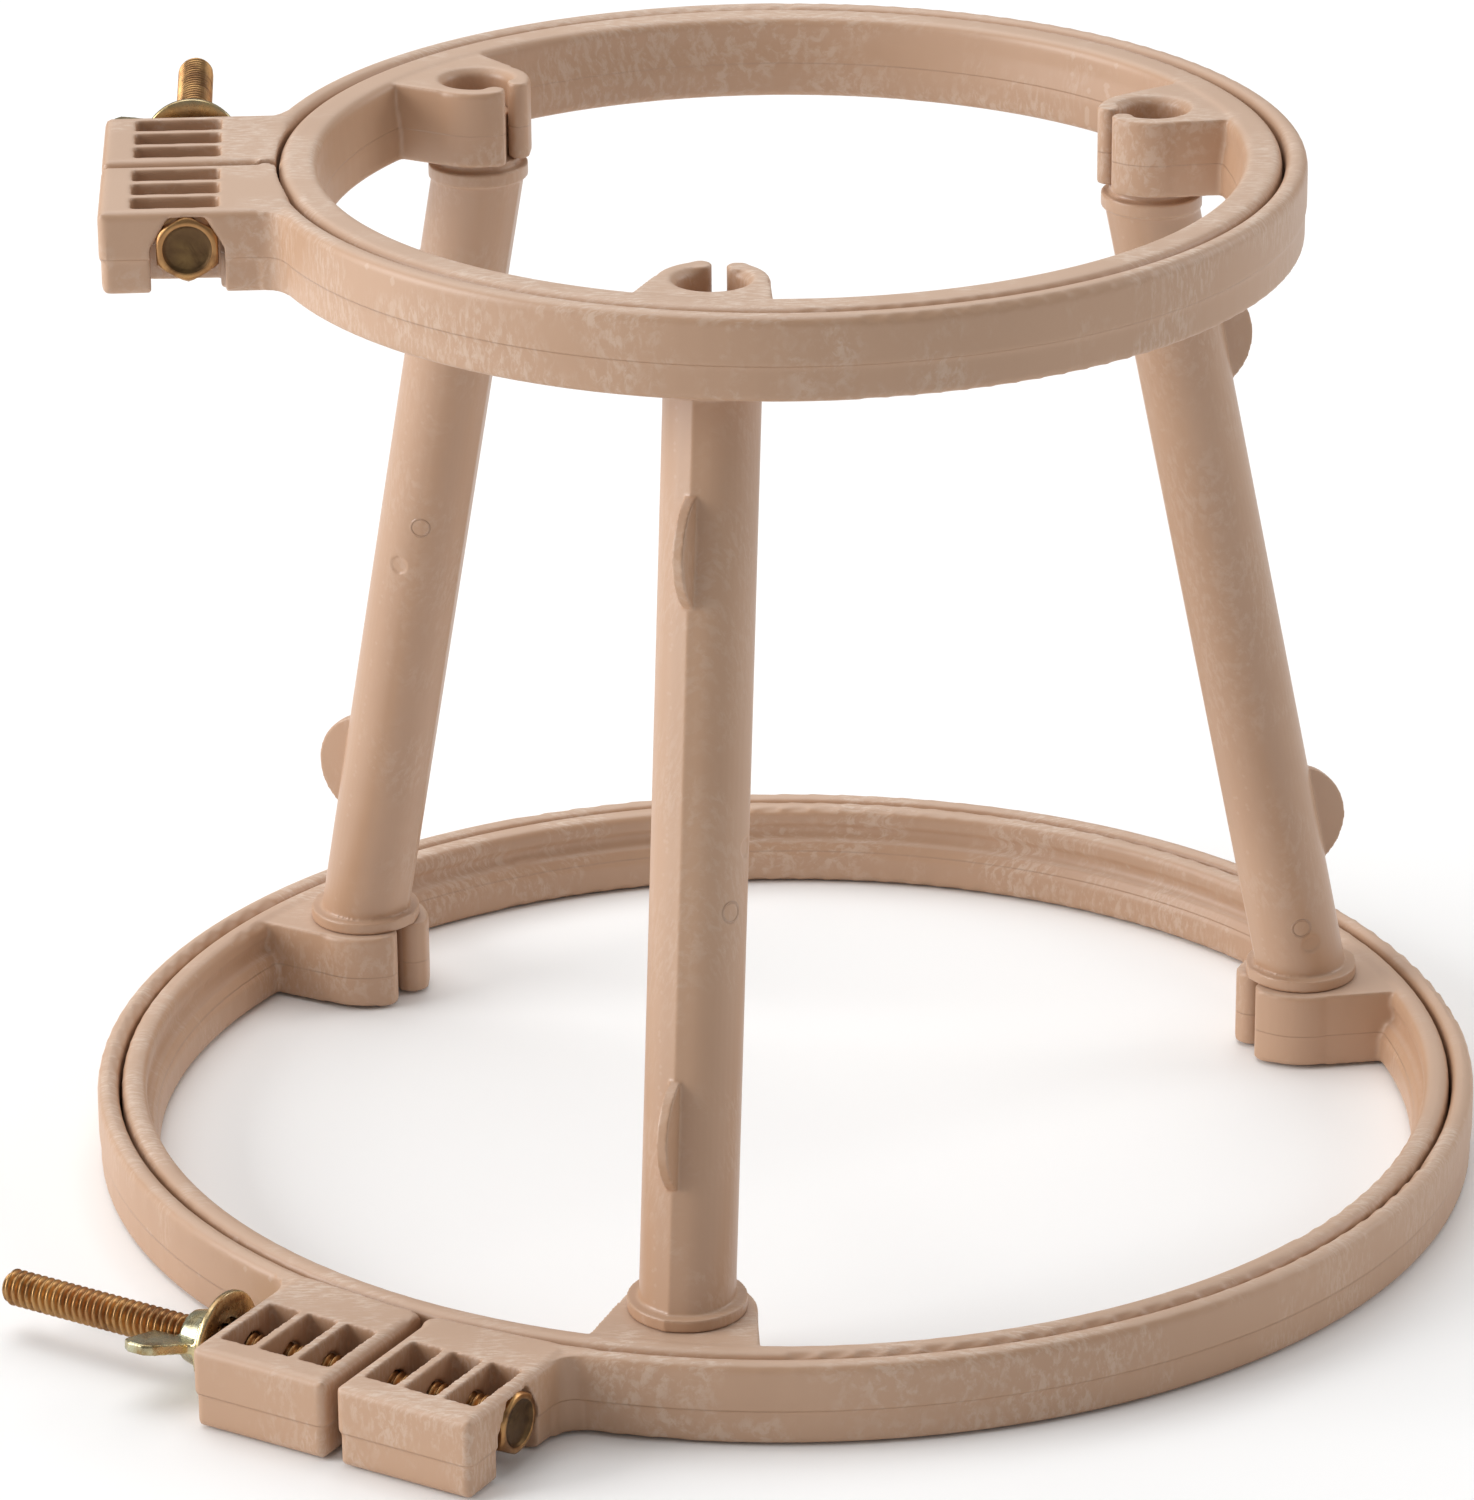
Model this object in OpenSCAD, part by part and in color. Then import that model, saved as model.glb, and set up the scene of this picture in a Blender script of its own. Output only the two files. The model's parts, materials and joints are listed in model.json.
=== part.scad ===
// Lap stand for embroidery: two clamping hoops joined by three splayed legs.
// The hoops lie flat and share the Z axis; the larger one rests on z = 0.

/* [Hoops] */
// Radius of the joint between the inner and outer hoop, lower pair
low_r = 91; // [80:0.5:110]
// Radius of the joint between the inner and outer hoop, upper pair
top_r = 65.6; // [58:0.1:80]
// Height of every hoop
hoop_h = 11.2; // [10:0.1:16]
// Height of the upper hoops' top face above the table
stand_h = 140.6; // [110:0.1:180]
// Wall of an outer hoop
outer_t = 2.9; // [2.4:0.1:4]
// Wall of the lower inner hoop at its rim
low_inner_t = 3.4; // [3:0.1:5]
// Wall of the upper inner hoop at its rim
top_inner_t = 5; // [3.4:0.1:5.4]
// Gap between an inner hoop and its outer hoop
hoop_gap = 0.4; // [0.3:0.05:0.8]

/* [Sockets and legs] */
// Direction of the first leg, seen from above
leg_turn = -99.3; // [-180:0.1:180]
// Distance of the lower sockets from the Z axis
low_socket_r = 77.5; // [70:0.5:80]
// Distance of the upper sockets from the Z axis
top_socket_r = 52.8; // [46:0.1:55]
// Outer radius of a lower socket
low_boss_r = 9; // [8.4:0.1:10]
// Outer radius of an upper socket
top_boss_r = 7.3; // [7:0.1:8]
// Radius of a socket's hole
bore_r = 4.4; // [3.5:0.05:4.8]
// Width of the slit that lets a socket spring open
slit_w = 1.9; // [1.2:0.1:2.5]
// Radius of a leg
leg_r = 6.2; // [5.6:0.1:6.4]
// How far the ridge along a leg's seam stands out
ridge = 0.22; // [0.1:0.02:0.4]
// How far a leg's finger tabs stand out
tab_out = 4.2; // [2:0.1:5]

/* [Clamps] */
// Direction of the lower clamp, seen from above
low_clamp_turn = -120.1; // [-180:0.1:180]
// Direction of the upper clamp, seen from above
top_clamp_turn = -176.6; // [-180:0.1:180]
// Width of one clamp block along the hoop
block_w = 20; // [16:0.5:24]
// Reach of a clamp block beyond the hoop joint
block_out = 22.6; // [20:0.2:26]
// Gap between the two blocks of a clamp
split_w = 1.6; // [1:0.1:4]

/* [Fasteners] */
// Length of the bolt under its head
bolt_l = 75.2; // [70:0.1:80]
// Radius of the bolt
bolt_r = 2.41; // [2:0.01:2.45]
// Height of the bolt's centre above the hoop's lower face
bolt_z = 6.1; // [6.05:0.05:6.3]
// Width across the flats of the bolt's head
head_af = 7.94; // [7:0.01:8]
// Height of the bolt's head
head_h = 2.8; // [2.5:0.1:3]
// Radius of the washer
washer_r = 6.6; // [5.5:0.1:6.6]
// Distance from the clamp block to the loose washer
washer_off = 1.9; // [0.5:0.1:3]
// Half of the wing nut's spread
wing_r = 10.6; // [9.5:0.1:11]
// Upward tilt of the outer wing at rest, lower clamp
low_wing_tilt = 12; // [0:1:30]
// Upward tilt of the outer wing at rest, upper clamp
top_wing_tilt = 6; // [0:1:30]

/* [Hidden] */
$fn = 96;

plastic = [0.72, 0.56, 0.44];
brass = [0.68, 0.52, 0.3];
eps = 0.01;
big = 400;

// Shape of the mouldings
seam_z = 0.43 * hoop_h;        // height of the mould's parting plane
seam_step = 0.2;               // the lower mould half is this much smaller
rim_round = 1.3;               // rounding of the hoops' rims
block_round = 1.2;             // rounding of the clamp blocks
block_root = 2;                // how far a block's inner corners are sunk in the hoop
low_foot_out = 1.5;            // extra wall at the lower inner hoop's foot
top_foot_out = 0.6;            // extra wall at the upper inner hoop's foot
channel_r = 1.6;               // channel under the lower inner hoop's rim
block_inset = 0.25;            // the lower mould half of a clamp block is this much smaller
boss_top = hoop_h - 0.3;       // the socket's faces lie just inside the hoop's
boss_foot = 0.3;
web_flare = 2.4;               // how much each side of a socket's web widens
mouth_flare = 1.2;             // chamfer round the top of a socket's hole

// Windows in a clamp block
win_in = 7.2;                  // window's near edge, beyond the hoop joint
win_out = 18.4;                // window's far edge
win_side = 1.9;                // wall at each end of the row of windows
win_rib = 1.3;                 // rib between two windows
win_n = 3;
win_w = (block_w - 2 * win_side - (win_n - 1) * win_rib) / win_n;
bolt_out = 11.3;               // bolt's centre, beyond the hoop joint
bolt_hole_r = bolt_r + 0.2;
pocket_af = head_af + 0.3;     // the pocket that keeps the head from turning
pocket_d = 2.6;
block_end = split_w / 2 + block_w;
fillet_r = 3;                  // round between the blocks and the hoop
fillet_inset = 0.3;
head_seat = block_end - pocket_d;

// Legs
flange_t = 1.7;
flange_r = 7.7;
collar_h = 1.9;
collar_r = 6.75;
shoulder_h = 1;                // step that the upper socket sits on
shoulder_r = 5.6;
peg_r = bore_r - 0.05;
low_peg_l = 9.4;
top_peg_l = 6.2;
leg_foot_z = boss_top + 0.05;
leg_top_z = stand_h - hoop_h + boss_foot - shoulder_h - 0.05;
tube_z0 = leg_foot_z + flange_t - 0.5;
tube_z1 = leg_top_z - collar_h + 0.5;
lean_in = low_socket_r - top_socket_r;
lean = atan(lean_in / (tube_z1 - tube_z0));
tab_z = [0.18, 0.81];          // heights of the two tabs, as parts of the tube's height
tab_half = 7.1;                // half of a tab's length
tab_t = 1.5;
tab_turn = [-12, -2, 13];      // turn of each leg's seam from the radial plane
mark_r = 1.35;                 // ejector marks
mark_d = 0.25;

// Wing nut
nut_bore_r = bolt_r + 0.05;
washer_t = 0.9;
washer_hole_r = 3.05;
washer_lift = 0.55;            // the lower washer stands on the table, lifted in its hole's play
nut_flange_r = 5.7;
nut_flange_t = 0.9;
nut_hub_r = 4;
nut_hub_l = 4.6;
wing_l = 8.6;
wing_flare = 4.2;              // how far along the bolt a wing reaches its full spread
wing_inner_r = 3.5;            // inner edge of the wings beyond the hub
wing_t = 1.4;

// Rectangle with rounded corners, from [x0, y0] to [x1, y1]
module round_rect(x0, y0, x1, y1, r) {
  translate([x0 + r, y0])
    square([x1 - x0 - 2 * r, y1 - y0]);
  translate([x0, y0 + r])
    square([x1 - x0, y1 - y0 - 2 * r]);
  for (x = [x0 + r, x1 - r], y = [y0 + r, y1 - r])
    translate([x, y])
      circle(r);
}

// Block whose twelve edges are all rounded
module soft_block(p, q, r) {
  intersection() {
    translate([0, 0, p.z])
      linear_extrude(q.z - p.z)
        round_rect(p.x, p.y, q.x, q.y, r);
    translate([0, q.y, 0])
      rotate([90, 0, 0])
        linear_extrude(q.y - p.y)
          round_rect(p.x, p.z, q.x, q.z, r);
    translate([p.x, 0, 0])
      rotate([90, 0, 90])
        linear_extrude(q.x - p.x)
          round_rect(p.y, p.z, q.y, q.z, r);
  }
}

// Section of an outer hoop, inner face at x = r
module outer_section(r) {
  difference() {
    round_rect(r, 0, r + outer_t, hoop_h, rim_round);
    translate([r + outer_t - seam_step, -eps])
      square([seam_step + eps, seam_z + eps]);
  }
}

// Section of an inner hoop, outer face at x = r - hoop_gap
module inner_section(r, wall, foot, channel) {
  rim_in = r - hoop_gap - wall;
  difference() {
    union() {
      round_rect(rim_in, 0.8, r - hoop_gap, hoop_h, rim_round);
      round_rect(rim_in - foot, 0, r - hoop_gap, seam_z, 0.9);
      polygon([[rim_in - foot, seam_z - 0.9], [rim_in + 1, seam_z - 0.9],
               [rim_in + 1, seam_z + 3], [rim_in, seam_z + 3]]);
    }
    if (channel > 0)
      translate([rim_in - channel + 0.5, hoop_h - 3.6])
        circle(channel);
  }
}

// One socket of an inner hoop, standing at x = at, with a web that widens to the hoop at x = reach
module socket_solid(at, reach, br) {
  translate([at, 0, 0])
    rotate_extrude()
      intersection() {
        round_rect(-br, boss_foot, br, boss_top, 0.7);
        square([br, hoop_h]);
      }
  translate([0, 0, boss_foot])
    linear_extrude(boss_top - boss_foot)
      polygon([[at, -br], [reach, -br - web_flare], [reach, br + web_flare], [at, br]]);
}

// The socket's hole, and a slot as wide as the slit and the rounds of the two fingers beside it
module socket_cut(at, br) {
  cut = slit_w / 2 + (br - bore_r) / 2;
  translate([at, 0, -eps]) {
    cylinder(r = bore_r, h = hoop_h + 2 * eps);
    translate([0, 0, hoop_h - mouth_flare])
      cylinder(r1 = bore_r, r2 = bore_r + mouth_flare, h = mouth_flare + 3 * eps);
    translate([-br - 1, -cut, 0])
      cube([br + 1, 2 * cut, hoop_h + 2 * eps]);
  }
}

// The rounded ends of the two fingers beside the slit
module socket_fingers(at, br) {
  finger_r = (br - bore_r) / 2;
  mid_r = bore_r + finger_r;
  side = slit_w / 2 + finger_r;
  for (s = [-1, 1])
    translate([at - sqrt(mid_r * mid_r - side * side), s * side, boss_foot])
      cylinder(r = finger_r, h = boss_top - boss_foot);
}

module inner_hoop(r, wall, foot, channel, socket_r, br) {
  difference() {
    union() {
      rotate_extrude($fn = 240)
        inner_section(r, wall, foot, channel);
      for (i = [0 : 2])
        rotate(leg_turn + 120 * i)
          socket_solid(socket_r, r - hoop_gap - 1.6, br);
    }
    for (i = [0 : 2])
      rotate(leg_turn + 120 * i)
        socket_cut(socket_r, br);
  }
  for (i = [0 : 2])
    rotate(leg_turn + 120 * i)
      socket_fingers(socket_r, br);
}

// One clamp block; side is 1 for the bolt head's block and -1 for the nut's
module clamp_block(r, side) {
  y0 = side > 0 ? split_w / 2 : -block_end;
  x0 = r - block_root;
  difference() {
    union() {
      intersection() {
        soft_block([x0, y0, 0], [r + block_out, y0 + block_w, hoop_h], block_round);
        translate([x0 - 1, y0 - 1, seam_z])
          cube([block_out + 10, block_w + 2, hoop_h]);
      }
      soft_block([x0, y0 + block_inset, 0],
                 [r + block_out - block_inset, y0 + block_w - block_inset, hoop_h - 1],
                 block_round);
    }
    for (i = [0 : win_n - 1])
      translate([r + win_in, y0 + win_side + i * (win_w + win_rib), -eps])
        cube([win_out - win_in, win_w, hoop_h + 2 * eps]);
  }
}

// Concave fillet between the hoop's outside and a block's end face
module clamp_fillet(r, side) {
  ring_r = r + outer_t;
  cy = block_end + fillet_r;
  cx = sqrt((ring_r + fillet_r) * (ring_r + fillet_r) - cy * cy);
  touch = ring_r / (ring_r + fillet_r);
  inner = (ring_r - 1.5) / (ring_r + fillet_r);
  translate([0, 0, fillet_inset])
    linear_extrude(hoop_h - 2 * fillet_inset)
      mirror([0, side > 0 ? 0 : 1])
        difference() {
          polygon([[cx, block_end - 1.5], [cx, cy], [cx * touch, cy * touch],
                   [cx * inner, cy * inner], [cx * inner, block_end - 1.5]]);
          translate([cx, cy])
            circle(fillet_r);
        }
}

module clamp_cuts(r) {
  translate([r + bolt_out, 0, bolt_z])
    rotate([90, 0, 0])
      cylinder(r = bolt_hole_r, h = 3 * block_w, center = true, $fn = 48);
  translate([r + bolt_out, head_seat, bolt_z])
    rotate([-90, 0, 0])
      cylinder(d = pocket_af / cos(30), h = pocket_d + 1, $fn = 6);
  translate([r + bolt_out - pocket_af / cos(30) / 2, head_seat, -1])
    cube([pocket_af / cos(30), pocket_d + 1, bolt_z + 1]);
}

module outer_hoop(r, turn) {
  rotate(turn)
    difference() {
      union() {
        rotate_extrude($fn = 240)
          outer_section(r);
        clamp_block(r, 1);
        clamp_block(r, -1);
        clamp_fillet(r, 1);
        clamp_fillet(r, -1);
      }
      translate([0, 0, -eps])
        cylinder(r = r, h = hoop_h + 2 * eps, $fn = 240);
      clamp_cuts(r);
      translate([r - 10, -split_w / 2, -1])
        cube([60, split_w, hoop_h + 2]);
    }
}

// A clamp's fasteners are drawn along the local Y axis at the hoop joint's radius r
module at_clamp(r, turn) {
  rotate(turn)
    translate([r + bolt_out, 0, bolt_z])
      children();
}

module clamp_bolt() {
  translate([0, head_seat, 0]) {
    rotate([90, 0, 0])
      cylinder(r = bolt_r, h = bolt_l, $fn = 48);
    rotate([-90, 0, 0])
      intersection() {
        cylinder(d = head_af / cos(30), h = head_h, $fn = 6);
        cylinder(r1 = head_af / 2 + 3.3, r2 = head_af / 2 - 0.1, h = head_h + 0.6, $fn = 48);
      }
  }
}

module clamp_washer(lift) {
  translate([0, -block_end - washer_off, lift])
    rotate([90, 0, 0])
      difference() {
        cylinder(r = washer_r, h = washer_t, $fn = 64);
        translate([0, 0, -eps])
          cylinder(r = washer_hole_r, h = washer_t + 2 * eps, $fn = 48);
      }
}

// One wing: a flat tab that flares outward from the flange and runs on along the bolt
module wing() {
  translate([0, wing_t / 2, 0])
    rotate([90, 0, 0])
      linear_extrude(wing_t)
        polygon([[0, 0], [nut_flange_r - 0.3, 0], [nut_flange_r, nut_flange_t + 0.6],
                 [wing_r - 0.6, wing_flare], [wing_r, wing_flare + 1], [wing_r, wing_l - 1.2],
                 [wing_r - 1, wing_l], [wing_inner_r, wing_l - 0.4],
                 [wing_inner_r - 0.3, nut_hub_l], [0, nut_hub_l]]);
}

module wing_nut(tilt) {
  translate([0, -block_end - washer_off - washer_t - 0.05, 0])
    rotate([90, 0, 0])
      rotate(tilt)
        difference() {
          union() {
            cylinder(r = nut_flange_r, h = nut_flange_t, $fn = 64);
            cylinder(r1 = nut_hub_r + 0.5, r2 = nut_hub_r - 0.6, h = nut_hub_l, $fn = 64);
            wing();
            rotate(180)
              wing();
          }
          translate([0, 0, -eps])
            cylinder(r = nut_bore_r, h = wing_l + 2, $fn = 48);
        }
}

// Section of a leg: a circle with a low ridge along the seam on each side
module leg_section(r) {
  touch = r * r / (r + ridge);
  side = sqrt(r * r - touch * touch);
  circle(r);
  polygon([[r + ridge, 0], [touch, side], [-touch, side],
           [-r - ridge, 0], [-touch, -side], [touch, -side]]);
}

// A finger tab: a segment of a disc standing on the seam
module leg_tab() {
  disc_r = (tab_half * tab_half + tab_out * tab_out) / (2 * tab_out);
  translate([leg_r + tab_out - disc_r, tab_t / 2, 0])
    rotate([90, 0, 0])
      intersection() {
        cylinder(r = disc_r, h = tab_t);
        translate([disc_r - tab_out - 1, -tab_half - 1, 0])
          cube([2 * disc_r, 2 * tab_half + 2, tab_t]);
      }
}

module leg_tube(turn) {
  tube_h = tube_z1 - tube_z0;
  intersection() {
    translate([low_socket_r, 0, tube_z0])
      rotate([0, -lean, 0])
        rotate(turn)
          translate([0, 0, -10])
            linear_extrude(tube_h / cos(lean) + 20)
              leg_section(leg_r);
    translate([0, -20, tube_z0])
      cube([big, 40, tube_h]);
  }
  for (f = tab_z)
    translate([low_socket_r - lean_in * (1 - f), 0, tube_z0 + (1 - f) * tube_h])
      rotate([0, -lean, 0])
        rotate(turn)
          leg_tab();
}

module leg(i) {
  rotate(leg_turn + 120 * i)
    difference() {
      union() {
        leg_tube(tab_turn[i]);
        translate([low_socket_r, 0, leg_foot_z]) {
          rotate(tab_turn[i])
            linear_extrude(flange_t)
              leg_section(flange_r);
          translate([0, 0, -low_peg_l])
            cylinder(r = peg_r, h = low_peg_l + 0.5);
        }
        translate([top_socket_r, 0, leg_top_z]) {
          translate([0, 0, -collar_h])
            cylinder(r = collar_r, h = collar_h);
          translate([0, 0, -0.5])
            cylinder(r = shoulder_r, h = shoulder_h + 0.5);
          cylinder(r = peg_r, h = shoulder_h + top_peg_l);
        }
      }
      for (m = [[0.5, 90], [0.95, -90]])
        translate([low_socket_r - lean_in * (1 - m[0]), 0,
                   tube_z0 + (1 - m[0]) * (tube_z1 - tube_z0)])
          rotate([0, -lean, 0])
            rotate(tab_turn[i] + m[1])
              translate([leg_r - mark_d, 0, 0])
                rotate([0, 90, 0])
                  cylinder(r = mark_r, h = 2, $fn = 32);
    }
}

top_z = stand_h - hoop_h;

module lower_inner_hoop()
  color(plastic)
    inner_hoop(low_r, low_inner_t, low_foot_out, channel_r, low_socket_r, low_boss_r);

module lower_outer_hoop()
  color(plastic)
    outer_hoop(low_r, low_clamp_turn);

module lower_bolt()
  color(brass)
    at_clamp(low_r, low_clamp_turn)
      clamp_bolt();

module lower_washer()
  color(brass)
    at_clamp(low_r, low_clamp_turn)
      clamp_washer(washer_lift);

module lower_wing_nut()
  color(brass)
    at_clamp(low_r, low_clamp_turn)
      wing_nut(low_wing_tilt);

module upper_inner_hoop()
  color(plastic)
    translate([0, 0, top_z])
      inner_hoop(top_r, top_inner_t, top_foot_out, 0, top_socket_r, top_boss_r);

module upper_outer_hoop()
  color(plastic)
    translate([0, 0, top_z])
      outer_hoop(top_r, top_clamp_turn);

module upper_bolt()
  color(brass)
    translate([0, 0, top_z])
      at_clamp(top_r, top_clamp_turn)
        clamp_bolt();

module upper_washer()
  color(brass)
    translate([0, 0, top_z])
      at_clamp(top_r, top_clamp_turn)
        clamp_washer(0);

module upper_wing_nut()
  color(brass)
    translate([0, 0, top_z])
      at_clamp(top_r, top_clamp_turn)
        wing_nut(top_wing_tilt);

lower_inner_hoop();
lower_outer_hoop();
lower_bolt();
lower_washer();
lower_wing_nut();
upper_inner_hoop();
upper_outer_hoop();
upper_bolt();
upper_washer();
upper_wing_nut();
color(plastic) leg(0);  // leg_front
color(plastic) leg(1);  // leg_right
color(plastic) leg(2);  // leg_left
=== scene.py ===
import json
import math

import bpy
from mathutils import Matrix, Vector


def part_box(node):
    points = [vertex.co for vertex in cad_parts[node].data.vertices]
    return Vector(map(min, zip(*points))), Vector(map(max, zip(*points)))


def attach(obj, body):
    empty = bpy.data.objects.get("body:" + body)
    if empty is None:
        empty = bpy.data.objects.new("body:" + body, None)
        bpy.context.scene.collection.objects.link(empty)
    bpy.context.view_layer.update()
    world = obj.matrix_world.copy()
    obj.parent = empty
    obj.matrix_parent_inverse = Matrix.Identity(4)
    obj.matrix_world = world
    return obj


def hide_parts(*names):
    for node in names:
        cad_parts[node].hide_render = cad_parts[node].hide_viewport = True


# Lap stand for embroidery: moulded hoops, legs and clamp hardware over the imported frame.
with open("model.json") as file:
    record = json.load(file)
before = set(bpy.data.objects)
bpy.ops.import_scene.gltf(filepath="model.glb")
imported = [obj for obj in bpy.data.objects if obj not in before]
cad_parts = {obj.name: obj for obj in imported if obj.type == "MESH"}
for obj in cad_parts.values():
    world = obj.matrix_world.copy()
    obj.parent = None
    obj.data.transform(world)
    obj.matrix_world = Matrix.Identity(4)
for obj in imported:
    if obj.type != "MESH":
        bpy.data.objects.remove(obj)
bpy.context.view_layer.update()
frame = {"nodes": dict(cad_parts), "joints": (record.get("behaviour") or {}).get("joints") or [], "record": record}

MM = 0.001
HARDWARE_PITCH = 25.4 / 24 * MM
BOLT_R = 2.4 * MM
THREAD_DEPTH = 0.62 * MM
BOLT_LENGTH = 75.2 * MM
HEAD_FLATS = 7.9 * MM
HEAD_HEIGHT = 2.78 * MM
HEAD_DISH = 0.42 * MM
DISH_SHARE = 0.8        # how much of the head's width its darker middle, painted shade, takes up
TIP_CHAMFER = 0.75 * MM
WASHER_R = 6.58 * MM
WASHER_HOLE_R = 3.06 * MM
WASHER_T = 0.88 * MM
WASHER_EASE = 0.22 * MM
HOOP_H = 11.2 * MM
SEAM_SHARE = 0.43       # the parting line's height, as a share of a hoop's height
LEG_SPACING = 120       # degrees between the legs
LEG_TURN = -99.3
LEG_FOOT = (77.5 * MM, 12.4 * MM)
LEG_HEAD = (52.8 * MM, 127.0 * MM)
LEG_R = 6.2 * MM
HOOP_VOXEL = 0.32 * MM
LEG_VOXEL = 0.21 * MM
NUT_VOXEL = 0.2 * MM

BODY_OF = {
    node: body
    for body, nodes in frame["record"]["behaviour"]["bodies"].items()
    for node in nodes
}


# ---------------------------------------------------------------- mesh helpers


def add_object(name, mesh):
    """Links a new object and gives it smooth shading."""
    obj = bpy.data.objects.new(name, mesh)
    bpy.context.scene.collection.objects.link(obj)
    for face in mesh.polygons:
        face.use_smooth = True
    return obj


def bake_modifiers(obj):
    """Turns an object's modifiers into plain mesh."""
    graph = bpy.context.evaluated_depsgraph_get()
    mesh = bpy.data.meshes.new_from_object(obj.evaluated_get(graph))
    old = obj.data
    obj.modifiers.clear()
    obj.data = mesh
    bpy.data.meshes.remove(old)


def soften(node, name, voxel, rounds):
    """A moulded or pressed copy of a CAD node, with every hard edge rounded over."""
    obj = add_object(name, frame["nodes"][node].data.copy())
    obj.data.materials.clear()
    weld = obj.modifiers.new("Weld", "WELD")
    weld.merge_threshold = 2e-6
    remesh = obj.modifiers.new("Skin", "REMESH")
    remesh.mode = "VOXEL"
    remesh.voxel_size = voxel
    remesh.use_smooth_shade = True
    smooth = obj.modifiers.new("Ease", "SMOOTH")
    smooth.factor = 0.5
    smooth.iterations = rounds
    bake_modifiers(obj)
    return obj


def skin_rings(name, rings):
    """A closed skin over rings of points, with a fan at each end."""
    count = len(rings[0])
    verts = [point for ring in rings for point in ring]
    faces = []
    for row in range(len(rings) - 1):
        a, b = row * count, (row + 1) * count
        for i in range(count):
            j = (i + 1) % count
            faces.append((a + i, a + j, b + j, b + i))
    for ring, start in ((rings[0], 0), (rings[-1], (len(rings) - 1) * count)):
        centre = [sum(c) / count for c in zip(*ring)]
        verts.append(centre)
        hub = len(verts) - 1
        for i in range(count):
            j = (i + 1) % count
            fan = (hub, start + j, start + i) if start == 0 else (hub, start + i, start + j)
            faces.append(fan)
    mesh = bpy.data.meshes.new(name)
    mesh.from_pydata(verts, [], faces)
    mesh.update()
    return mesh


def loop_rings(name, rings):
    """A closed skin over rings that return to the first, such as a washer's section."""
    count = len(rings[0])
    verts = [point for ring in rings for point in ring]
    faces = []
    for row in range(len(rings)):
        a, b = row * count, ((row + 1) % len(rings)) * count
        for i in range(count):
            j = (i + 1) % count
            faces.append((a + i, a + j, b + j, b + i))
    mesh = bpy.data.meshes.new(name)
    mesh.from_pydata(verts, [], faces)
    mesh.update()
    return mesh


def ring_at(along, radius_at, count):
    """Points round the local Z axis at one height; radius_at gives the radius for an angle."""
    points = []
    for i in range(count):
        angle = 2 * math.pi * i / count
        radius = radius_at(angle)
        points.append((radius * math.cos(angle), radius * math.sin(angle), along))
    return points


# ---------------------------------------------------------------- hardware


def thread_height(phase):
    """Height of the thread's flank, 0 at the root and 1 at the crest."""
    wave = abs((phase % 1.0) * 2 - 1)
    return min(1.0, max(0.0, (wave - 0.14) / 0.66))


def bolt_mesh(name):
    """Hex-headed bolt along local Z: the tip is up, the head hangs below z = 0."""
    around = 72
    rings = []

    def hexagon(angle):
        turned = (angle + math.pi / 6) % (math.pi / 3) - math.pi / 6
        return HEAD_FLATS / 2 / math.cos(turned)

    # (height, width as a share of the flats), from the dished middle out to the seat
    head = [
        (-HEAD_HEIGHT + HEAD_DISH, 0.40),
        (-HEAD_HEIGHT + HEAD_DISH, 0.66),
        (-HEAD_HEIGHT + 0.8 * HEAD_DISH, 0.74),
        (-HEAD_HEIGHT + 0.1 * HEAD_DISH, 0.80),
        (-HEAD_HEIGHT, 0.84),
        (-HEAD_HEIGHT, 0.92),
        (-HEAD_HEIGHT + 0.06 * MM, 0.96),
        (-HEAD_HEIGHT + 0.24 * MM, 1.02),
        (-HEAD_HEIGHT + 0.48 * MM, 1.075),
        (-HEAD_HEIGHT + 0.76 * MM, 1.12),
        (-HEAD_HEIGHT + 1.00 * MM, 1.2),
        (-0.25 * MM, 1.2),
        (-0.08 * MM, 1.12),
        (0.0, 1.02),
    ]
    for z, share in head:
        limit = HEAD_FLATS / 2 * share
        rings.append(ring_at(z, lambda angle: min(hexagon(angle), limit), around))
    rings_per_turn = 10
    total = int(BOLT_LENGTH / HARDWARE_PITCH * rings_per_turn)
    for k in range(total + 1):
        z = BOLT_LENGTH * k / total
        to_tip = BOLT_LENGTH - z
        cap = min(BOLT_R, BOLT_R - TIP_CHAMFER + to_tip)

        def radius(angle):
            phase = z / HARDWARE_PITCH - angle / (2 * math.pi)
            return min(cap, BOLT_R - THREAD_DEPTH * (1 - thread_height(phase)))

        rings.append(ring_at(z, radius, around))
    return skin_rings(name, rings)


def washer_mesh(name):
    """Stamped washer along local Z from 0 to its thickness, with eased edges."""
    around = 96
    ease = WASHER_EASE
    section = [
        (WASHER_HOLE_R, ease),
        (WASHER_HOLE_R + ease, 0),
        (WASHER_R - ease, 0),
        (WASHER_R - 0.3 * ease, 0.3 * ease),
        (WASHER_R, ease),
        (WASHER_R, WASHER_T - ease),
        (WASHER_R - 0.3 * ease, WASHER_T - 0.3 * ease),
        (WASHER_R - ease, WASHER_T),
        (WASHER_HOLE_R + ease, WASHER_T),
        (WASHER_HOLE_R, WASHER_T - ease),
    ]
    rings = [ring_at(z, lambda a, r=r: r, around) for r, z in section]
    return loop_rings(name, rings)


def find_joint(name):
    """The frame's joint of that name."""
    return next(joint for joint in frame["joints"] if joint["name"] == name)


def clamp_axis(level):
    """(point on the bolt's axis at its head's seat, direction towards its tip)."""
    along = Vector(find_joint(level + "_washer_slide")["axis"]).normalized()
    on_axis = Vector(find_joint(level + "_nut_turn")["pos_m"])
    points = frame["nodes"][level + "_bolt"].data.vertices
    tip = max((Vector(v.co) - on_axis).dot(along) for v in points)
    return on_axis + along * (tip - BOLT_LENGTH), along


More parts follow.
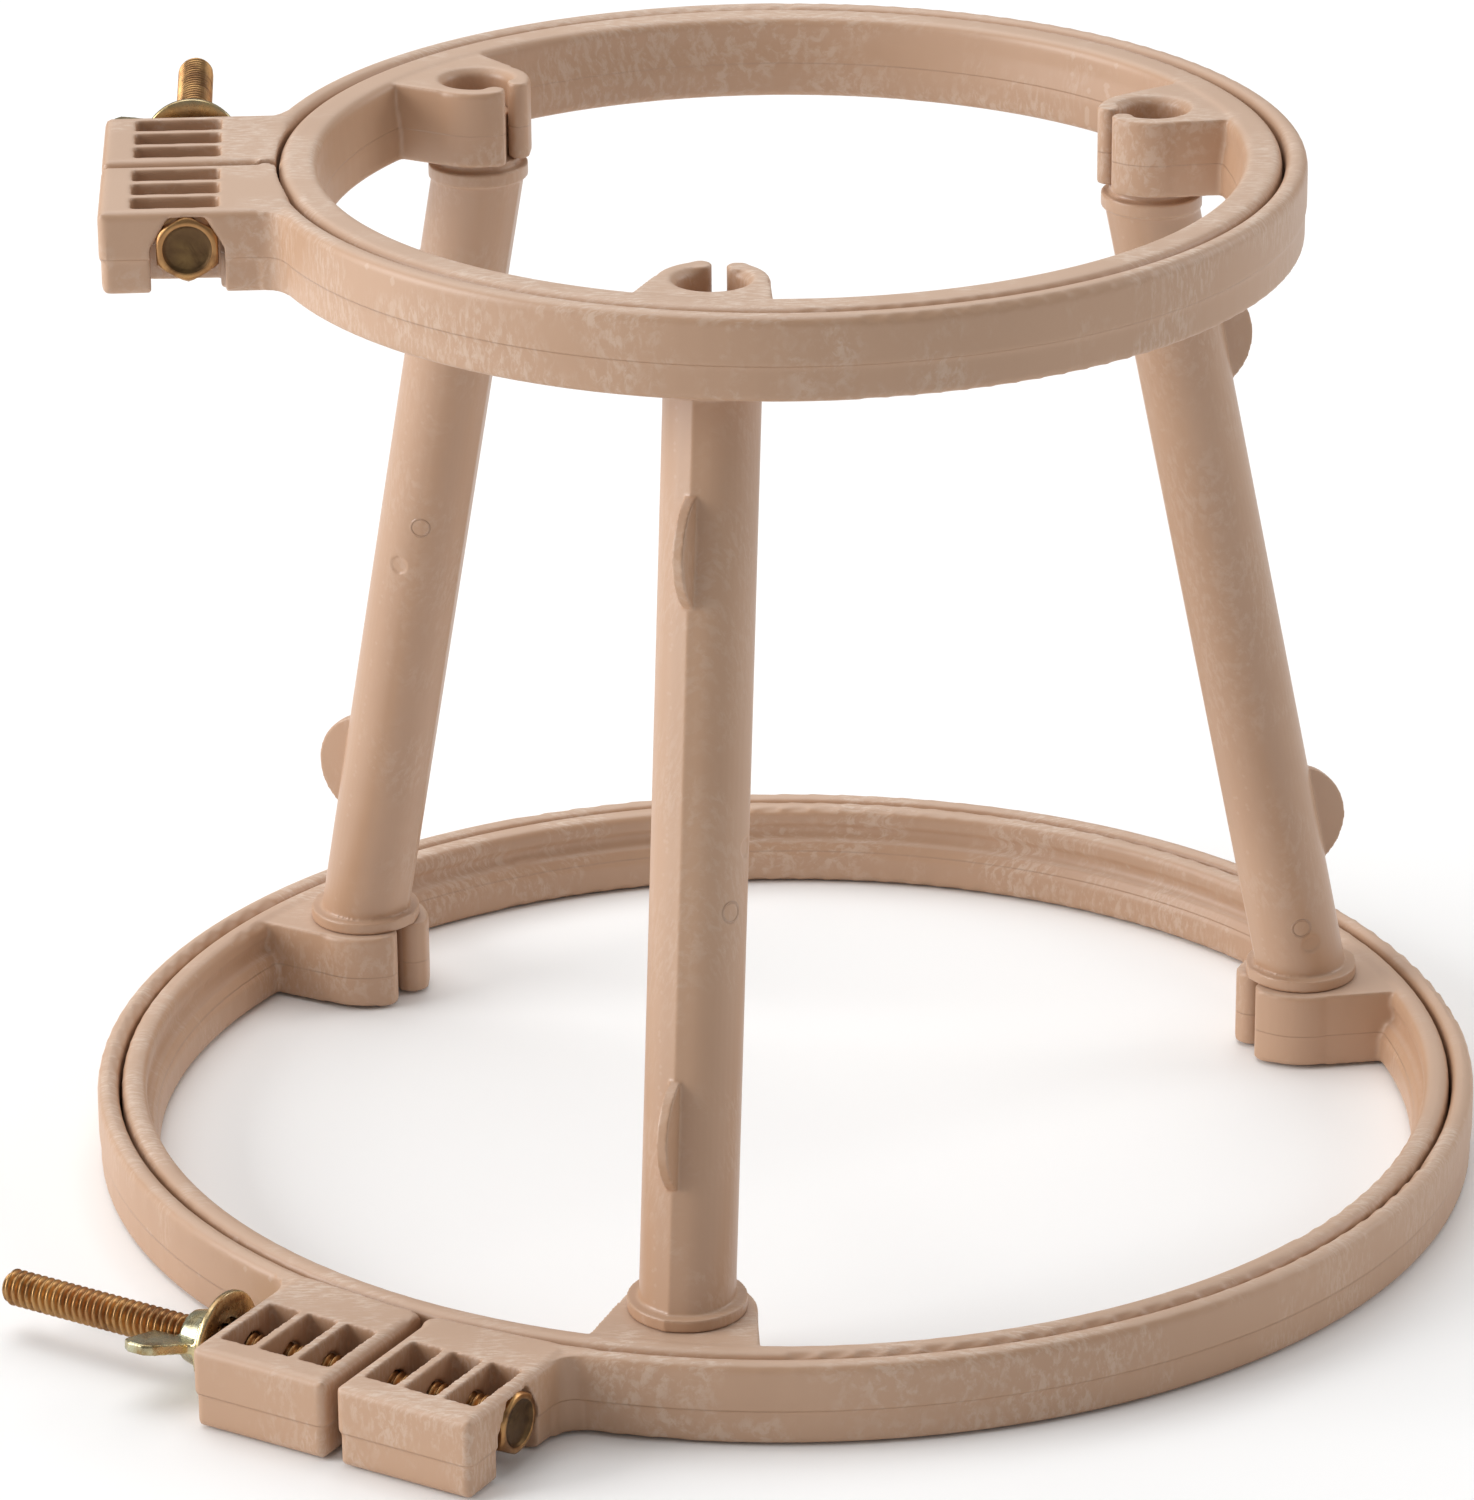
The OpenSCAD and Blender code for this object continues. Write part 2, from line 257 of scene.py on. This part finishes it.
def along_axis(seat, direction):
    """Matrix that takes local Z onto the direction, local X staying level."""
    z = direction.normalized()
    x = Vector((-z.y, z.x, 0)).normalized()
    y = z.cross(x)
    turn = Matrix((x, y, z)).transposed().to_4x4()
    return Matrix.Translation(seat) @ turn


# ---------------------------------------------------------------- shader groups


def new_group(name, inputs, outputs):
    """Shader group with named sockets: inputs are (name, kind, value) and outputs (name, kind)."""
    group = bpy.data.node_groups.new(name, "ShaderNodeTree")
    for label, kind, value in inputs:
        socket = group.interface.new_socket(label, in_out="INPUT", socket_type=kind)
        if value is not None:
            socket.default_value = value
    for label, kind in outputs:
        group.interface.new_socket(label, in_out="OUTPUT", socket_type=kind)
    return group, group.nodes.new("NodeGroupInput"), group.nodes.new("NodeGroupOutput")


def add_noise(tree, vector, scale, detail, roughness=0.55, distortion=0.0):
    """Noise node over a vector; scale is a number or a socket."""
    node = tree.nodes.new("ShaderNodeTexNoise")
    node.inputs["Detail"].default_value = detail
    node.inputs["Roughness"].default_value = roughness
    node.inputs["Distortion"].default_value = distortion
    if isinstance(scale, (int, float)):
        node.inputs["Scale"].default_value = scale
    else:
        tree.links.new(scale, node.inputs["Scale"])
    tree.links.new(vector, node.inputs["Vector"])
    return node.outputs["Fac"]


def add_range(tree, value, low, high, to_low=0.0, to_high=1.0):
    """Smooth step of a value from one range to another."""
    node = tree.nodes.new("ShaderNodeMapRange")
    node.interpolation_type = "SMOOTHSTEP"
    node.inputs["From Min"].default_value = low
    node.inputs["From Max"].default_value = high
    node.inputs["To Min"].default_value = to_low
    node.inputs["To Max"].default_value = to_high
    tree.links.new(value, node.inputs["Value"])
    return node.outputs["Result"]


def add_math(tree, operation, a, b):
    """Math node on two sockets or numbers."""
    node = tree.nodes.new("ShaderNodeMath")
    node.operation = operation
    for slot, value in enumerate((a, b)):
        if isinstance(value, (int, float)):
            node.inputs[slot].default_value = value
        else:
            tree.links.new(value, node.inputs[slot])
    return node.outputs["Value"]


def add_mix(tree, factor, a, b):
    """Colour mix; a and b are colours or sockets."""
    node = tree.nodes.new("ShaderNodeMix")
    node.data_type = "RGBA"
    tree.links.new(factor, node.inputs["Factor"])
    for label, value in (("A", a), ("B", b)):
        socket = next(s for s in node.inputs if s.name == label and s.type == "RGBA")
        if isinstance(value, (tuple, list)):
            socket.default_value = (*value, 1.0)
        else:
            tree.links.new(value, socket)
    return next(s for s in node.outputs if s.type == "RGBA")


def make_scuff_group():
    """Chalky rubbing: fine scratches broken up by patches."""
    group, ins, outs = new_group(
        "Chalky scuffs",
        [("Vector", "NodeSocketVector", None), ("Scale", "NodeSocketFloat", 1.0)],
        [("Mask", "NodeSocketFloat")],
    )
    stretch = group.nodes.new("ShaderNodeMapping")
    stretch.inputs["Rotation"].default_value = (0.0, 0.0, 0.6)
    stretch.inputs["Scale"].default_value = (1.0, 4.5, 1.0)
    group.links.new(ins.outputs["Vector"], stretch.inputs["Vector"])
    fine = add_math(group, "MULTIPLY", ins.outputs["Scale"], 520.0)
    broad = add_math(group, "MULTIPLY", ins.outputs["Scale"], 60.0)
    scratches = add_noise(group, stretch.outputs["Vector"], fine, 6.0, 0.7, 0.4)
    patches = add_noise(group, ins.outputs["Vector"], broad, 4.0, 0.6)
    sharp = add_range(group, scratches, 0.45, 0.62)
    wide = add_range(group, patches, 0.42, 0.6)
    group.links.new(add_math(group, "MULTIPLY", sharp, wide), outs.inputs["Mask"])
    return group


def make_mottle_group():
    """Slow change of colour through the plastic, and its fine grain."""
    group, ins, outs = new_group(
        "Resin mottle",
        [("Vector", "NodeSocketVector", None), ("Scale", "NodeSocketFloat", 1.0)],
        [("Cloud", "NodeSocketFloat"), ("Grain", "NodeSocketFloat")],
    )
    slow = add_math(group, "MULTIPLY", ins.outputs["Scale"], 22.0)
    quick_scale = add_math(group, "MULTIPLY", ins.outputs["Scale"], 1500.0)
    cloud = add_noise(group, ins.outputs["Vector"], slow, 3.0, 0.5, 0.6)
    grain = add_noise(group, ins.outputs["Vector"], quick_scale, 2.0, 0.6)
    group.links.new(add_range(group, cloud, 0.3, 0.7), outs.inputs["Cloud"])
    group.links.new(grain, outs.inputs["Grain"])
    return group


def make_rim_group():
    """How much a surface faces up, how near it is to an outer edge, and how deep it lies in a hollow: masks for
    wear, for painted light and for painted shade.
    """
    group, ins, outs = new_group(
        "Wear and painted light masks",
        [("Softness", "NodeSocketFloat", 0.1)],
        [("Upward", "NodeSocketFloat"), ("Edge", "NodeSocketFloat"), ("Corner", "NodeSocketFloat")],
    )
    geometry = group.nodes.new("ShaderNodeNewGeometry")
    split = group.nodes.new("ShaderNodeSeparateXYZ")
    group.links.new(geometry.outputs["Normal"], split.inputs["Vector"])
    group.links.new(add_range(group, split.outputs["Z"], 0.55, 0.97), outs.inputs["Upward"])
    point = geometry.outputs["Pointiness"]
    raised = add_math(group, "ADD", point, ins.outputs["Softness"])
    group.links.new(add_range(group, raised, 0.62, 0.72), outs.inputs["Edge"])
    sunk = add_math(group, "SUBTRACT", point, ins.outputs["Softness"])
    group.links.new(add_range(group, sunk, 0.39, 0.3), outs.inputs["Corner"])
    return group


def make_seam_group():
    """Mould parting line at one height: a hairline, where painted shade goes, and a small step below it."""
    group, ins, outs = new_group(
        "Parting line",
        [("Height", "NodeSocketFloat", 0.005)],
        [("Line", "NodeSocketFloat"), ("Step", "NodeSocketFloat")],
    )
    where = group.nodes.new("ShaderNodeTexCoord")
    split = group.nodes.new("ShaderNodeSeparateXYZ")
    group.links.new(where.outputs["Object"], split.inputs["Vector"])
    above = add_math(group, "SUBTRACT", split.outputs["Z"], ins.outputs["Height"])
    off = add_math(group, "ABSOLUTE", above, 0.0)
    group.links.new(add_range(group, off, 0.05 * MM, 0.2 * MM, 1.0, 0.0), outs.inputs["Line"])
    group.links.new(add_range(group, above, -0.12 * MM, 0.12 * MM), outs.inputs["Step"])
    return group


def make_ejector_group():
    """Ring left by a mould's ejector pin, round a place on the surface."""
    group, ins, outs = new_group(
        "Ejector ring",
        [("Vector", "NodeSocketVector", None), ("Place", "NodeSocketVector", (0.0, 0.0, 0.0)),
         ("Radius", "NodeSocketFloat", 0.0013)],
        [("Ring", "NodeSocketFloat")],
    )
    away = group.nodes.new("ShaderNodeVectorMath")
    away.operation = "DISTANCE"
    group.links.new(ins.outputs["Vector"], away.inputs[0])
    group.links.new(ins.outputs["Place"], away.inputs[1])
    off = add_math(group, "SUBTRACT", away.outputs["Value"], ins.outputs["Radius"])
    near = add_math(group, "ABSOLUTE", off, 0.0)
    group.links.new(add_range(group, near, 0.05 * MM, 0.22 * MM, 1.0, 0.0), outs.inputs["Ring"])
    return group


def make_plating_group():
    """Zinc plating: brushed streaks, tarnish patches and the passivate's tint."""
    group, ins, outs = new_group(
        "Plating",
        [("Vector", "NodeSocketVector", None), ("Scale", "NodeSocketFloat", 1.0)],
        [("Streak", "NodeSocketFloat"), ("Tarnish", "NodeSocketFloat"), ("Tint", "NodeSocketFloat")],
    )
    streak_scale = add_math(group, "MULTIPLY", ins.outputs["Scale"], 900.0)
    patch_scale = add_math(group, "MULTIPLY", ins.outputs["Scale"], 230.0)
    tint_scale = add_math(group, "MULTIPLY", ins.outputs["Scale"], 140.0)
    streak = add_noise(group, ins.outputs["Vector"], streak_scale, 3.0, 0.6, 0.8)
    patch = add_noise(group, ins.outputs["Vector"], patch_scale, 5.0, 0.65, 0.5)
    tint = add_noise(group, ins.outputs["Vector"], tint_scale, 2.0, 0.5, 1.2)
    group.links.new(streak, outs.inputs["Streak"])
    group.links.new(add_range(group, patch, 0.45, 0.7), outs.inputs["Tarnish"])
    group.links.new(add_range(group, tint, 0.35, 0.65), outs.inputs["Tint"])
    return group


GROUPS = {
    "scuff": make_scuff_group(),
    "mottle": make_mottle_group(),
    "rim": make_rim_group(),
    "seam": make_seam_group(),
    "plating": make_plating_group(),
    "ejector": make_ejector_group(),
}


def place_group(tree, key, vector=None, **values):
    """Puts a shared group in a material, with this material's own values."""
    node = tree.nodes.new("ShaderNodeGroup")
    node.node_tree = GROUPS[key]
    if vector is not None:
        tree.links.new(vector, node.inputs["Vector"])
    for label, value in values.items():
        node.inputs[label].default_value = value
    return node


def new_material(name):
    """(material, tree, its Principled shader, object coordinates)."""
    material = bpy.data.materials.new(name)
    material.use_nodes = True
    tree = material.node_tree
    shader = next(n for n in tree.nodes if n.type == "BSDF_PRINCIPLED")
    where = tree.nodes.new("ShaderNodeTexCoord").outputs["Object"]
    return material, tree, shader, where


def add_bump(tree, height, strength, distance, normal=None):
    """Bump node; a second one can follow the first."""
    node = tree.nodes.new("ShaderNodeBump")
    node.inputs["Strength"].default_value = strength
    node.inputs["Distance"].default_value = distance
    tree.links.new(height, node.inputs["Height"])
    if normal is not None:
        tree.links.new(normal, node.inputs["Normal"])
    return node.outputs["Normal"]


PLASTIC = (0.50, 0.305, 0.19)
PLASTIC_DEEP = (0.455, 0.27, 0.163)
# Pale chalk colour for real scuffs, also used for painted light on upward faces and edges and for painted sheen
PLASTIC_CHALK_AND_LIGHT = (0.64, 0.50, 0.40)
# Painted shade colour for the parting line's hairline and the ejector pin rings
PAINTED_MARK_SHADE = (0.27, 0.15, 0.09)


def moulded_plastic(name, seam_height=None, scuff_and_light=0.75, gloss=0.46, pins=()):
    """Matt tan plastic, chalky with scuffs on its upper faces and edges; upward faces and outer edges are also
    lightened as painted light, and a faint chalk over every face is painted sheen.
    """
    material, tree, shader, where = new_material(name)
    mottle = place_group(tree, "mottle", where)
    scuff = place_group(tree, "scuff", where)
    rim = place_group(tree, "rim", Softness=0.1)
    body = add_mix(tree, mottle.outputs["Cloud"], PLASTIC_DEEP, PLASTIC)
    worn = add_math(tree, "MULTIPLY", scuff.outputs["Mask"], rim.outputs["Upward"])
    # Painted top light: every upward face is lightened, scuffed or not
    painted_top_light = add_math(tree, "MULTIPLY", rim.outputs["Upward"], 0.45)
    chalk_and_top_light = add_math(tree, "MULTIPLY", add_math(tree, "ADD", worn, painted_top_light), scuff_and_light)
    # Outer edges lightened: partly real edge wear, partly a painted highlight
    edge = add_math(tree, "MULTIPLY", rim.outputs["Edge"], 0.4 * scuff_and_light)
    light = add_math(tree, "MAXIMUM", chalk_and_top_light, edge)
    # Faint chalk over every face: real scuffs, and also painted sheen that whitens the lit sides
    faint_scuff_and_sheen = add_math(tree, "MULTIPLY", scuff.outputs["Mask"], 0.6 * scuff_and_light)
    chalk_and_painted_light = add_math(tree, "MAXIMUM", light, faint_scuff_and_sheen)
    colour = add_mix(tree, chalk_and_painted_light, body, PLASTIC_CHALK_AND_LIGHT)
    rough = add_range(tree, chalk_and_painted_light, 0.0, 1.0, gloss, 0.78)
    normal = add_bump(tree, mottle.outputs["Grain"], 0.25, 0.00003)
    normal = add_bump(tree, scuff.outputs["Mask"], 0.2, 0.00004, normal)
    if seam_height is not None:
        seam = place_group(tree, "seam", Height=seam_height)
        # Painted shade: the parting line's hairline is darkened where its small step would be shaded
        painted_shade = add_math(tree, "MULTIPLY", seam.outputs["Line"], 0.12)
        colour = add_mix(tree, painted_shade, colour, PAINTED_MARK_SHADE)
        normal = add_bump(tree, seam.outputs["Step"], 0.9, 0.00012, normal)
    for place in pins:
        pin = place_group(tree, "ejector", where, Place=place)
        # Painted shade round each ejector pin's ring
        painted_shade = add_math(tree, "MULTIPLY", pin.outputs["Ring"], 0.3)
        colour = add_mix(tree, painted_shade, colour, PAINTED_MARK_SHADE)
        normal = add_bump(tree, pin.outputs["Ring"], 0.8, 0.00015, normal)
    tree.links.new(colour, shader.inputs["Base Color"])
    tree.links.new(rough, shader.inputs["Roughness"])
    tree.links.new(normal, shader.inputs["Normal"])
    shader.inputs["Specular IOR Level"].default_value = 0.85
    return material


def plated_steel(name, bright, tinted, tarnished, rough_low, rough_high):
    """Yellow zinc plate over steel, uneven in tint and shine, with painted shade darkening its hollows and thread
    roots.
    """
    material, tree, shader, where = new_material(name)
    plating = place_group(tree, "plating", where)
    rim = place_group(tree, "rim", Softness=0.06)
    tint = add_mix(tree, plating.outputs["Tint"], bright, tinted)
    aged = add_mix(tree, plating.outputs["Tarnish"], tint, tarnished)
    # Painted shade: hollows such as thread roots and inner corners are darkened
    colour = add_mix(tree, rim.outputs["Corner"], aged, (0.09, 0.055, 0.025))
    rough = add_range(tree, plating.outputs["Streak"], 0.3, 0.7, rough_low, rough_high)
    normal = add_bump(tree, plating.outputs["Streak"], 0.12, 0.00003)
    tree.links.new(colour, shader.inputs["Base Color"])
    tree.links.new(rough, shader.inputs["Roughness"])
    tree.links.new(normal, shader.inputs["Normal"])
    shader.inputs["Metallic"].default_value = 1.0
    return material


UPPER_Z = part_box("upper_outer_hoop")[0].z

def on_leg(index, share, facing):
    """Place on a leg's skin: a share of its height up, facing a direction in degrees."""
    out = math.radians(LEG_TURN + LEG_SPACING * index)
    reach = LEG_FOOT[0] + (LEG_HEAD[0] - LEG_FOOT[0]) * share
    height = LEG_FOOT[1] + (LEG_HEAD[1] - LEG_FOOT[1]) * share
    side = math.radians(facing)
    return (reach * math.cos(out) + LEG_R * math.cos(side),
            reach * math.sin(out) + LEG_R * math.sin(side), height)


EJECTOR_PINS = [on_leg(0, 0.44, -48), on_leg(1, 0.07, -80), on_leg(2, 0.55, -95)]
SEAM_Z = SEAM_SHARE * HOOP_H
MATERIALS = {
    "lower": moulded_plastic("Lower hoop plastic", SEAM_Z),
    "upper": moulded_plastic("Upper hoop plastic", UPPER_Z + SEAM_Z),
    "leg": moulded_plastic("Leg plastic", None, scuff_and_light=0.35, gloss=0.38, pins=EJECTOR_PINS),
    "bolt": plated_steel("Bolt plating", (0.47, 0.27, 0.11), (0.38, 0.2, 0.085),
                         (0.2, 0.1, 0.045), 0.28, 0.42),
    # Dark plating for the dished middle of the bolt head: painted shade
    "dish": plated_steel("Bolt head face painted shade", (0.17, 0.105, 0.045), (0.12, 0.07, 0.035),
                         (0.07, 0.04, 0.02), 0.35, 0.5),
    "nut": plated_steel("Nut plating", (0.62, 0.5, 0.26), (0.46, 0.44, 0.3),
                        (0.3, 0.2, 0.08), 0.2, 0.34),
    "washer": plated_steel("Washer plating", (0.6, 0.45, 0.22), (0.52, 0.42, 0.25),
                           (0.33, 0.2, 0.09), 0.22, 0.38),
}


def fit_out(obj, node, material):
    """Gives a piece its material and its body, and hides the node that it stands for."""
    obj.data.materials.clear()
    obj.data.materials.append(MATERIALS[material])
    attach(obj, BODY_OF[node])
    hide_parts(node)


# ---------------------------------------------------------------- pieces


def add_bolt(level, seat, along):
    """Clamp bolt in its pocket, with the middle of its head darkened as painted shade."""
    bolt = add_object(level + "_clamp_bolt", bolt_mesh(level + "_clamp_bolt"))
    bolt.data.transform(along_axis(seat, along))
    fit_out(bolt, level + "_bolt", "bolt")
    bolt.data.materials.append(MATERIALS["dish"])
    deepest = -HEAD_HEIGHT + HEAD_DISH * 1.05
    for face in bolt.data.polygons:
        from_seat = Vector(face.center) - seat
        drop = from_seat.dot(along)
        spread = (from_seat - along * drop).length
        if drop < deepest and spread < DISH_SHARE * HEAD_FLATS / 2:
            face.material_index = 1


def add_washer(level, seat, along):
    """Washer at its packed place along the bolt and its packed height."""
    node = frame["nodes"][level + "_washer"]
    near = min((Vector(v.co) - seat).dot(along) for v in node.data.vertices)
    low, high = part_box(level + "_washer")
    washer = add_object(level + "_clamp_washer", washer_mesh(level + "_clamp_washer"))
    centre = seat + along * near
    centre.z = (low.z + high.z) / 2
    washer.data.transform(along_axis(centre, along))
    fit_out(washer, level + "_washer", "washer")


def add_nut(level):
    """Wing nut, with its pressed edges rounded over."""
    nut = soften(level + "_wing_nut", level + "_pressed_wing_nut", NUT_VOXEL, 4)
    fit_out(nut, level + "_wing_nut", "nut")


for level in ("lower", "upper"):
    for part in ("inner_hoop", "outer_hoop"):
        node = f"{level}_{part}"
        fit_out(soften(node, node + "_moulding", HOOP_VOXEL, 3), node, level)
for side in ("front", "right", "left"):
    node = "leg_" + side
    fit_out(soften(node, node + "_moulding", LEG_VOXEL, 2), node, "leg")
for level in ("lower", "upper"):
    seat, along = clamp_axis(level)
    add_bolt(level, seat, along)
    add_washer(level, seat, along)
    add_nut(level)


# ---------------------------------------------------------------- floor, light and camera


def add_floor():
    """Wide pale floor under the stand."""
    half = 6.0
    drop = 0.2 * MM
    mesh = bpy.data.meshes.new("Floor")
    corners = [(-half, -half, 0), (half, -half, 0), (half, half, 0), (-half, half, 0)]
    mesh.from_pydata(corners, [], [(0, 1, 2, 3)])
    floor = bpy.data.objects.new("Floor", mesh)
    bpy.context.scene.collection.objects.link(floor)
    floor.location.z = -drop
    material, tree, shader, where = new_material("Pale floor")
    patches = add_noise(tree, where, 3.0, 2.0)
    tree.links.new(add_mix(tree, patches, (0.93, 0.93, 0.925), (0.95, 0.95, 0.95)),
                   shader.inputs["Base Color"])
    shader.inputs["Roughness"].default_value = 0.9
    shader.inputs["Specular IOR Level"].default_value = 0.1
    mesh.materials.append(material)


def add_softbox(name, place, aim, size, power):
    """Square area light at a place, pointed at another."""
    light = bpy.data.lights.new(name, "AREA")
    light.shape = "SQUARE"
    light.size = size
    light.energy = power
    obj = bpy.data.objects.new(name, light)
    obj.location = place
    obj.rotation_euler = (Vector(aim) - Vector(place)).to_track_quat("-Z", "Y").to_euler()
    bpy.context.scene.collection.objects.link(obj)


def add_camera():
    """Long lens, looking slightly down on the stand from the front."""
    place = (0, -0.8928, 0.4199)
    pitch, roll, yaw = math.radians(22.17), math.radians(-0.43), math.radians(-0.40)
    forward = Vector((math.sin(yaw) * math.cos(pitch), math.cos(yaw) * math.cos(pitch),
                      -math.sin(pitch)))
    right = Vector((math.cos(yaw), -math.sin(yaw), 0))
    up = right.cross(forward)
    side = right * math.cos(roll) + up * math.sin(roll)
    top = up * math.cos(roll) - right * math.sin(roll)
    data = bpy.data.cameras.new("Camera")
    data.sensor_width = 36.0
    data.lens = 171.9
    data.clip_start, data.clip_end = 0.05, 30.0
    obj = bpy.data.objects.new("Camera", data)
    turn = Matrix((side, top, -forward)).transposed().to_4x4()
    obj.matrix_world = Matrix.Translation(place) @ turn
    bpy.context.scene.collection.objects.link(obj)
    bpy.context.scene.camera = obj


add_floor()
add_softbox("Key light", (-1.5, -0.28, 0.62), (0, 0, 0.06), 1.0, 21)
add_softbox("Top light", (-0.3, 0.7, 2.1), (0, 0, 0.06), 2.2, 34)
add_softbox("Rim light", (1.5, 0.35, 0.7), (0, 0, 0.08), 0.9, 7)
world = bpy.data.worlds.new("Studio")
world.use_nodes = True
world.node_tree.nodes["Background"].inputs["Color"].default_value = (1.0, 1.0, 1.0, 1.0)
world.node_tree.nodes["Background"].inputs["Strength"].default_value = 0.3
bpy.context.scene.world = world
bpy.context.scene.view_settings.view_transform = "Standard"
add_camera()
